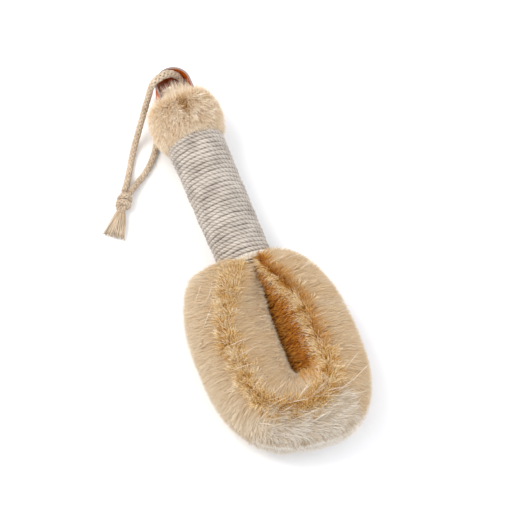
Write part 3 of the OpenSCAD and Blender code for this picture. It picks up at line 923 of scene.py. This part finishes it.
# The head's surface, inset mm below its fibre tips: one row for each section, turns in degrees
def headSurface(inset, turns):
    r = rowsOfHead
    a = np.radians(turns)[None, :]
    outer = np.cos(a) > 0
    toEdge, toSlit = r["edge"] - r["wire"], r["slit"] - r["wire"]

    def shortened(v, cut):
        size = np.linalg.norm(v, axis=1)
        return v * (np.maximum(size - cut, 0.4 * size) / np.maximum(size, 1e-6))[:, None]

    h = headShape
    trim = h["trim"] * smooth(0.2, 0.55, loop) * (1 - smooth(1.2, 1.7, loop))
    trim = trim + h["toeTrim"] * smooth(0.9, 1.2, loop)
    for out, middle, width in (h["shoulder"], h["corner"]):
        trim = trim - out * bell(loop, middle, width)
    # the left lip of the slit is set back, and the slit opens wider at its toe end
    lip = h["lipShift"]
    left = (lip[0] + (lip[1] - lip[0]) * smooth(0.1, 0.95, loop)) * smooth(0.0, 0.1, loop)
    left = left * (1 - smooth(1.1, 1.5, loop))
    toeEnd = h["toeOpening"] * smooth(1.1, 1.5, loop) * (1 - smooth(1.8, 2.0, loop))
    reachOut, reachIn = shortened(toEdge, inset + trim), shortened(toSlit, inset + left + toeEnd)
    half = r["half"][:, None] - inset
    share = np.where(outer & (np.sin(a) < 0), np.abs(np.cos(a)) ** 1.7, np.abs(np.cos(a)))[..., None]
    reach = np.where(outer[..., None], reachOut[:, None, :], reachIn[:, None, :])
    plan = r["wire"][:, None, :] + share * reach
    cap = neckY + h["neckRoom"]  # past here the surface is pressed back from the wrap by half
    plan[..., 1] = np.where(plan[..., 1] > cap, cap + 0.5 * (plan[..., 1] - cap), plan[..., 1])
    height = half * np.sin(a)
    fall = half * np.interp(np.abs(np.cos(a)), trenchPlan, trenchHeight)
    under = np.minimum(height, -0.2 * half)
    carved = np.where(np.sin(a) >= 0, fall, under)
    height = np.where(outer, height, height + trenchShare[:, None] * (carved - height))
    height = np.maximum(height, h["floor"] + 0.45 * inset)
    return np.concatenate([plan, height[..., None]], 2)


def surfaceFrames(points):
    acrossRows = unit(np.gradient(points, axis=0))
    alongTurn = unit(np.gradient(points, axis=1))
    normal = unit(np.cross(alongTurn, acrossRows))
    middle = np.concatenate([rowsOfHead["wire"], np.zeros((len(points), 1))], 1)[:, None, :]
    flip = np.sign(np.sum(normal * (points - middle), 2, keepdims=True))
    flip[flip == 0] = 1
    return alongTurn, normal * flip


# Slow waves over the head that break up the colour
def patches(points, size, seed):
    rng = np.random.default_rng(seed)
    total = np.zeros(points.shape[:2])
    waves = 7
    for _ in range(waves):
        way = unit(rng.normal(size=3)) * 2 * math.pi / (size * (0.6 + 0.9 * rng.random()))
        total += np.sin(points @ way + rng.random() * 6.28)
    return total / waves ** 0.5


# Where the crest of cut tufts runs, in degrees of each section: below 90 is outside the wire, above is inside
crestLine = np.interp(loop, [0.0, 0.4, 1.0, 1.5, 1.8, 2.05, 2.5, 3.0], [86, 84, 84, 74, 88, 99, 102, 100])
crestWidth = np.interp(loop, [0.0, 0.3, 0.7, 1.4, 1.7, 2.2, 3.0], [16, 14, 10, 10, 14, 12, 12])


# Tones run from 0, brown, to 1, cream; the values below 0 darken
headTones = {
    "left": 0.59, "right": 0.55, "toe": 0.6, "between": 0.66, "leftEdgeLight": 0.07, "rightEdgeLight": 0.02,
    "inside": 0.55, "wall": 0.5, "wallDepthShade": -0.26, "slitDepthShade": -0.3, "crest": -0.06, "crestWidth": 16.0,
    "patch": 0.035, "patchSize": 14, "patchSeed": 3,
    "mat": -0.16, "matByNeck": 0.3, "matOutside": 0.12,
}


def headTone(points, turns):
    t = headTones
    a = np.radians(turns)[None, :]
    left = 1 - smooth(0.9, 1.35, row)
    right = smooth(1.64, 1.74, row)
    toe = smooth(1.22, 1.42, row) * (1 - right)
    outward = np.clip(np.cos(a), 0, 1)
    # the left outer side is a little lighter than the right, and the outer rims lighter still, most on the
    # left: painted light from the left
    outside = t["left"] * left + t["right"] * right + t["toe"] * toe
    outside = outside + (1 - np.clip(left + right + toe, 0, 1)) * t["between"]
    outside = outside + t["leftEdgeLight"] * outward ** 3 * (1 - right) + t["rightEdgeLight"] * outward ** 3 * right
    # deeper in the slit the tone falls: painted shade on the trench's right wall and, near the neck, in the
    # slit
    depth = np.clip(1 - points[..., 2] / headShape["halfThick"], 0, 1.3)
    wall = t["wall"] + t["wallDepthShade"] * smooth(0.06, 0.42, depth)
    trench = trenchShare[:, None]
    inside = t["inside"] + trench * (wall - t["inside"])
    inside = inside + t["slitDepthShade"] * smooth(0.45, 0.9, depth) * (1 - smooth(0.2, 0.5, row)) * (1 - trench)
    tone = np.where(np.cos(a) > 0, outside, inside)
    # a band along the crest line is darker: painted shade in the pits between the tufts
    tone = tone + t["crest"] * bell(turns[None, :], crestLine[:, None], t["crestWidth"])
    return tone + t["patch"] * patches(points, t["patchSize"], t["patchSeed"])


# Fibres lie away from the crest on both sides, and stand up where the surface is flat
def headGrid(inset, turns):
    points = headSurface(inset, turns)
    alongTurn, normal = surfaceFrames(points)
    a = np.radians(turns)[None, :]
    fromCrest = np.sign(crestLine[:, None] - turns[None, :] + 1e-9)
    side = np.where(np.sin(a) > 0, fromCrest, np.sign(np.cos(a) + 1e-9))
    away = -np.sign(np.sin(a)) * side
    flat = np.abs(np.sin(a)) ** 0.6
    lift = 0.2 + 0.55 * (1 - flat)
    comb = unit(alongTurn * (away * flat)[..., None] + normal * lift[..., None])
    return {"points": points, "comb": comb, "tone": headTone(points, turns), "crowd": 1.0, "normal": normal}


def makeHeadMat():
    turns = np.linspace(-90, 270, headShape["columns"])[:-1]
    points = headSurface(headShape["matInset"], turns)
    rows, columns = points.shape[:2]
    byNeck = 1 - smooth(0.02, 0.14, np.minimum(loop, 3 - loop))
    outside = (np.cos(np.radians(turns)) > -0.1)[None, :]
    t = headTones
    # the mat is painted darker than the fibres over it: painted shade deep in the pile, less near the neck
    # and on the outer side
    tone = headTone(points, turns) + t["mat"] + t["matByNeck"] * byNeck[:, None] + t["matOutside"] * outside
    faces = gridFaces(rows, columns, closed=True)
    faces.append(tuple(reversed(range(columns))))
    faces.append(tuple((rows - 1) * columns + k for k in range(columns)))
    mat = meshObject("headMat", place(points.reshape(-1, 3)), faces)
    setAttribute(mat, "tone", "FLOAT", tone)
    mat.data.materials.append(headMat)
    mat.data.shade_smooth()
    return finished(mat, ["head_bristles"])


# How each kind of fibre is set: turns are the degrees of each section that it covers, and reach is its
# length in mm
combedLook = {
    "thickness": 0.36, "wildness": 0.1, "tuftSize": 9.0, "tuftLean": 0.14, "toneSpread": 0.08,
    "limit": neckY + 0.5,
}
outerLook = {
    **combedLook, "turns": (-62, 110), "columns": 48, "reach": 10.5, "atEdge": -6.9, "thinBelow": (-60, -10),
    "thin": 0.45, "count": 17000,
}
toeLook = {
    **combedLook, "turns": (-62, 68), "columns": 38, "reach": 11.0, "atEdge": -7.2, "thinBelow": (-60, -10),
    "thin": 0.45, "count": 15000, "thickness": 0.62, "wildness": 0.24, "tuftLean": 1.0, "tuftSize": 7.0,
    "toneSpread": 0.4, "seed": 41,
}
innerLook = {
    **combedLook, "turns": (70, 200), "columns": 46, "reach": 9.5, "atEdge": -5.4, "count": 14000,
    "wildness": 0.07, "tuftLean": 0.12, "toneSpread": 0.05, "seed": 53,
}
wallLook = {
    **combedLook, "turns": (80, 182), "columns": 40, "reach": 7.5, "count": 6500,
    "thickness": 0.75, "wildness": 0.3, "tuftSize": 4.0, "tuftLean": 1.0, "toneSpread": 0.34, "seed": 31,
}
lipLook = {
    **combedLook, "turns": (138, 172), "columns": 14, "reach": 7.0, "atSlit": -1.6, "paler": 0.02,
    "count": 5000, "thickness": 0.6, "wildness": 0.16, "tuftSize": 2.6, "tuftLean": 1.7, "toneSpread": 0.1,
    "seed": 57,
}
crestLook = {
    "turns": (48, 134), "columns": 36, "under": 0.6, "reach": 6.2, "tone": 0.7,
    "toeTone": (-0.18, 1.42, 0.22),  # darker round the toe: by how much, where, over what length
    "rightTone": -0.05, "patch": 0.05, "patchSize": 9, "limit": neckY - 0.5, "thickness": 0.5,
    "evenScale": 1.0, "wildness": 0.45, "tuftSize": 6.0, "tuftLean": 1.6, "toneSpread": 0.3,
}
strayLook = {
    **combedLook, "turns": (30, 92), "columns": 20, "inset": 0.6, "reach": 15.0, "tone": 0.9, "count": 130,
    "elsewhere": 0.15, "thickness": 0.34, "wildness": 0.5, "seed": 91,
}
underLook = {**combedLook, "reach": 8.0, "tone": 0.66, "count": 9000, "tuftLean": 0.1, "seed": 61}


# 1 between two places along the loop and 0 elsewhere, with short soft ends
def legWindow(low, high):
    return smooth(low - 0.03, low, row) * (1 - smooth(high, high + 0.03, row))


# Long on the crest, shorter by look["atEdge"] where the section turns down
def combedReach(look, turns):
    return look["reach"] + look["atEdge"] * (1 - np.abs(np.sin(np.radians(turns)))[None, :] ** 0.6)


# Fewer fibres below, where they are hidden
def thinnedBelow(look, turns):
    return look["thin"] + (1 - look["thin"]) * smooth(*look["thinBelow"], turns)[None, :]


# A level way from the wire to the edge or to the slit, for each section
def fromWire(key):
    return unit(np.pad(rowsOfHead[key] - rowsOfHead["wire"], ((0, 0), (0, 1))))[:, None, :]


# A way laid flat on the surface
def laidFlat(way, normal):
    way = unit(np.array(way))
    return unit(way - normal * np.sum(way * normal, 2, keepdims=True))


def makeOuter(name, low, high, look):
    turns = np.linspace(*look["turns"], look["columns"])
    grid = headGrid(headShape["matInset"], turns)
    grid["crowd"] = legWindow(low, high) * thinnedBelow(look, turns)
    grid["crowd"] = grid["crowd"] * (1 - smooth(-1, 5, turns[None, :] - crestLine[:, None]))
    grid["reach"] = combedReach(look, turns)
    return growFibres(name, grid, look)


def makeToe():
    turns = np.linspace(*toeLook["turns"], toeLook["columns"])
    grid = headGrid(headShape["matInset"], turns)
    grid["crowd"] = smooth(1.2, 1.3, row) * (1 - smooth(1.66, 1.72, row)) * thinnedBelow(toeLook, turns)
    # long pale fibres brushed sideways over the toe
    up = smooth(5, 35, turns)[None, :, None]
    sideways = laidFlat([1.0, 0.2, 0.0], grid["normal"]) + 0.16 * grid["normal"]
    grid["comb"] = unit(grid["comb"] * (1 - 0.8 * up) + sideways * 0.95 * up)
    grid["reach"] = combedReach(toeLook, turns)
    return growFibres("toeFibres", grid, toeLook, material=toeSisal)


def makeInner():
    turns = np.linspace(*innerLook["turns"], innerLook["columns"])
    grid = headGrid(headShape["matInset"], turns)
    grid["crowd"] = (1 - smooth(1.68, 1.76, row)) * smooth(0.0, 0.05, row) \
        * smooth(-4, 2, turns[None, :] - crestLine[:, None])
    grid["reach"] = combedReach(innerLook, turns)
    return growFibres("innerFibres", grid, innerLook)


def makeSlitWall():
    turns = np.linspace(*wallLook["turns"], wallLook["columns"])
    grid = headGrid(headShape["matInset"], turns)
    grid["crowd"] = smooth(1.58, 1.7, row) * smooth(-3, 3, turns[None, :] - crestLine[:, None])
    grid["comb"] = unit(fromWire("slit") * 0.9 + grid["normal"] * 0.3 - np.array([0, 0, 0.25]))
    grid["reach"] = wallLook["reach"]
    return growFibres("slitFibres", grid, wallLook, material=wallSisal)


# The left wall's longest tips, which end raggedly over the slit
def makeLip():
    first, last = lipLook["turns"]
    turns = np.linspace(first, last, lipLook["columns"])
    grid = headGrid(headShape["matInset"], turns)
    grid["crowd"] = (1 - smooth(1.5, 1.6, row)) * smooth(0.1, 0.25, row) * smooth(first, 150, turns)[None, :]
    grid["comb"] = unit(fromWire("slit") + grid["normal"] * 0.25)
    grid["reach"] = lipLook["reach"] + lipLook["atSlit"] * smooth(150, last, turns)[None, :]
    grid["tone"] = grid["tone"] + lipLook["paler"]
    return growFibres("lipFibres", grid, lipLook)


def makeCrest(name, low, high, look):
    turns = np.linspace(*look["turns"], look["columns"])
    grid = headGrid(headShape["matInset"] + look["under"], turns)
    fade = bell(turns[None, :], crestLine[:, None], crestWidth[:, None])
    grid["crowd"] = legWindow(low, high) * fade
    lean = np.clip((crestLine[:, None] - turns[None, :]) / 24, -1, 1)[..., None]
    grid["comb"] = unit(grid["normal"] + fromWire("edge") * (0.15 + 0.5 * lean))
    grid["reach"] = look["reach"]
    dip, middle, width = look["toeTone"]
    grid["tone"] = look["tone"] + dip * bell(row, middle, width) + look["rightTone"] * smooth(1.7, 2.0, row) \
        + look["patch"] * patches(grid["points"], look["patchSize"], look["seed"])
    return growFibres(name, grid, look, fibre=crestTuft, material=tuftSisal)


# Long loose fibres that lie across the toe, and a few on the crest
def makeStrays():
    turns = np.linspace(*strayLook["turns"], strayLook["columns"])
    grid = headGrid(strayLook["inset"], turns)
    grid["crowd"] = strayLook["elsewhere"] + smooth(1.2, 1.4, row) * (1 - smooth(1.62, 1.75, row))
    grid["comb"] = unit(laidFlat([1.0, 0.1, 0.0], grid["normal"]) + 0.12 * grid["normal"])
    grid["reach"], grid["tone"] = strayLook["reach"], strayLook["tone"]
    return growFibres("strayFibres", grid, strayLook, fibre=longFibre)


def makeUnder(name, low, high, columns):
    grid = headGrid(headShape["matInset"], np.linspace(low, high, columns))
    grid["comb"][..., 2] = np.maximum(grid["comb"][..., 2], -0.12)  # nearly level, close over the floor
    grid["comb"] = unit(grid["comb"])
    grid["reach"], grid["tone"] = underLook["reach"], underLook["tone"]
    return growFibres(name, grid, underLook)


makeHeadMat()
makeOuter("outerLeftFibres", 0.0, 1.3, {**outerLook, "seed": 11, "limit": neckY + 5})
makeOuter("outerRightFibres", 1.62, 3.0, {**outerLook, "seed": 13})
makeToe()
makeInner()
makeLip()
makeSlitWall()
makeCrest("crestLeftFibres", 0.03, 1.35, {**crestLook, "count": 1050, "seed": 23})
makeCrest("crestRightFibres", 1.35, 2.97, {**crestLook, "count": 1500, "seed": 29})
makeStrays()
makeUnder("underOuter", -90, -58, 12)
makeUnder("underInner", 198, 270, 20)
print("head ready")


# Collar: the tufted end of the handle, parted in the middle

collarShape = {
    "radius": 22.0, "full": 0.47, "base": 0.68, "squareness": 2.5, "inset": 2.6, "shadedMatTone": 0.34,
    # the parting is painted darker: painted shade down in the gap between the two lobes
    "part": 1.9, "partingShade": 0.5, "partThin": 0.85,  # the golden parting on top
}
cutAngle = math.degrees(math.asin(collarShape["base"] ** (collarShape["squareness"] / 2)))


# Places on rings round the handle, no lower than lowest
def ringPoints(radius, turns, along, lowest=-99.0):
    r, t, y = np.broadcast_arrays(radius, np.radians(turns), along)
    return np.stack([r * np.cos(t), y, np.maximum(r * np.sin(t), lowest)], 2)


def collarSurface(inset, angles, turns):
    c = collarShape
    length = collarTop - wrapTop
    middle = length * c["full"]
    low = middle / c["base"]
    power = 2 / c["squareness"]
    a = np.radians(angles)[:, None]
    radial = (c["radius"] - inset) * np.abs(np.cos(a)) ** power
    reach = np.where(a < 0, low, length - middle - inset)
    y = wrapTop + middle + reach * np.sign(np.sin(a)) * np.abs(np.sin(a)) ** power
    return ringPoints(radial, turns[None, :], y, headShape["floor"] + 0.5 * inset)


def makeCollarMat():
    angles = np.linspace(-cutAngle, 90, 26)
    turns = np.linspace(0, 360, 65)[:-1]
    points = collarSurface(collarShape["inset"], angles, turns)
    rows, columns = points.shape[:2]
    faces = [(a, d, c, b) for a, b, c, d in gridFaces(rows - 1, columns, closed=True)]
    spots = points.reshape(-1, 3)[: (rows - 1) * columns + 1]  # the last row is one place, the pole
    last = (rows - 2) * columns
    faces += [(last + k, last + columns, last + (k + 1) % columns) for k in range(columns)]
    faces.append(tuple(range(columns)))
    mat = meshObject("collarMat", place(spots), faces)
    # the collar's mat is painted far darker than its fibres: painted shade under the pile
    setAttribute(mat, "tone", "FLOAT", np.full(len(spots), collarShape["shadedMatTone"]))
    mat.data.materials.append(headMat)
    mat.data.shade_smooth()
    return finished(mat, ["collar_bristles_left", "collar_bristles_right"])


collarLook = {
    "count": 11000, "reach": 5.0, "longerOnTop": 0.8, "tone": 0.74, "patch": 0.07, "patchSize": 7,
    "thickness": 0.5, "wildness": 0.36, "tuftSize": 5.0, "tuftLean": 0.8, "toneSpread": 0.16,
}
eyeTipLook = {
    **collarLook, "count": 3400, "radii": (4, 19), "rings": 10, "under": 4.5, "fall": 5.0,
    "reach": 13.2, "atRim": -6.2, "tone": 0.66, "wildness": 0.22, "tuftSize": 3.0, "tuftLean": 0.7,
    "seed": 79,
}


def makeCollarFibres(name, firstTurn, lastTurn, seed):
    c, look = collarShape, {**collarLook, "seed": seed}
    angles = np.linspace(-cutAngle, 88, 30)
    points = collarSurface(c["inset"], angles, np.linspace(firstTurn, lastTurn, 40))
    alongAngle = unit(np.gradient(points, axis=0))
    alongTurn = unit(np.gradient(points, axis=1))
    normal = unit(np.cross(alongTurn, alongAngle))
    middle = np.array([0, (wrapTop + collarTop) / 2, 0])
    normal = normal * np.sign(np.sum(normal * (points - middle), 2, keepdims=True))
    top = smooth(35, 80, angles)[:, None]
    up = top[..., None]
    comb = unit(-alongAngle * (0.75 * (1 - up)) + normal * (0.6 + 0.5 * up) + np.array([0, 0.5, 0]) * up)
    x, y, z = points[..., 0], points[..., 1], points[..., 2]
    parting = bell(x, 0, c["part"]) * (z > 0) * smooth(wrapTop + 9, wrapTop + 14, y)
    parting = parting * (1 - smooth(collarTop - 8, collarTop - 4, y))
    patch = look["patch"] * patches(points, look["patchSize"], seed)
    # the tone falls in the parting: painted shade
    grid = {
        "points": points, "comb": comb, "reach": look["reach"] + look["longerOnTop"] * top,
        "crowd": 1 - c["partThin"] * parting, "tone": look["tone"] - c["partingShade"] * parting + patch,
    }
    return growFibres(name, grid, look, material=collarSisal)


# Ivory tips that stand up round the eye
def makeEyeTips():
    s = eyeTipLook
    radii = np.linspace(*s["radii"], s["rings"])[:, None]
    turns = np.linspace(0, 360, 49)[None, :]
    points = ringPoints(radii, turns, collarTop - s["under"] - s["fall"] * smooth(11, 19, radii))
    spread = 0.35 * smooth(6, 19, radii)[..., None]
    grid = {
        "points": points, "comb": unit(np.array([0, 1.0, 0]) + spread * ringPoints(1.0, turns, 0.0)),
        "reach": s["reach"] + s["atRim"] * smooth(8, 14, radii), "crowd": 1.0, "tone": s["tone"],
    }
    return growFibres("eyeTipFibres", grid, s, material=collarSisal)


makeCollarMat()
makeCollarFibres("collarRightFibres", -90, 90, 71)
makeCollarFibres("collarLeftFibres", 90, 270, 73)
makeEyeTips()
print("collar ready")


# Neck: a cream rim of loose fibre where the head's shoulders meet the wrap

rimLook = {
    **combedLook, "count": 2600, "gap": 0.2, "width": 2.0, "under": 1.5, "reach": 3.6, "tone": 0.94,
    "wildness": 0.4, "limit": neckY + 9, "seed": 83,
}


def makeNeckRim():
    s = rimLook
    radii = wrapShape["headDiameter"] / 2 + s["gap"] + s["width"] * np.linspace(0, 1, 4)[:, None]
    turns = np.linspace(0, 360, 49)[None, :]
    points = ringPoints(radii, turns, neckY - s["under"], headShape["floor"] + 1)
    grid = {
        "points": points, "comb": unit(np.array([0, 1.0, 0]) + 0.6 * ringPoints(1.0, turns, 0.0)),
        "reach": s["reach"], "crowd": 1.0, "tone": s["tone"],
    }
    return growFibres("neckRimFibres", grid, s, fibre=longFibre)


makeNeckRim()
for spare in (fineFibre, longFibre, crestTuft):
    bpy.data.objects.remove(spare)
print("neck ready")
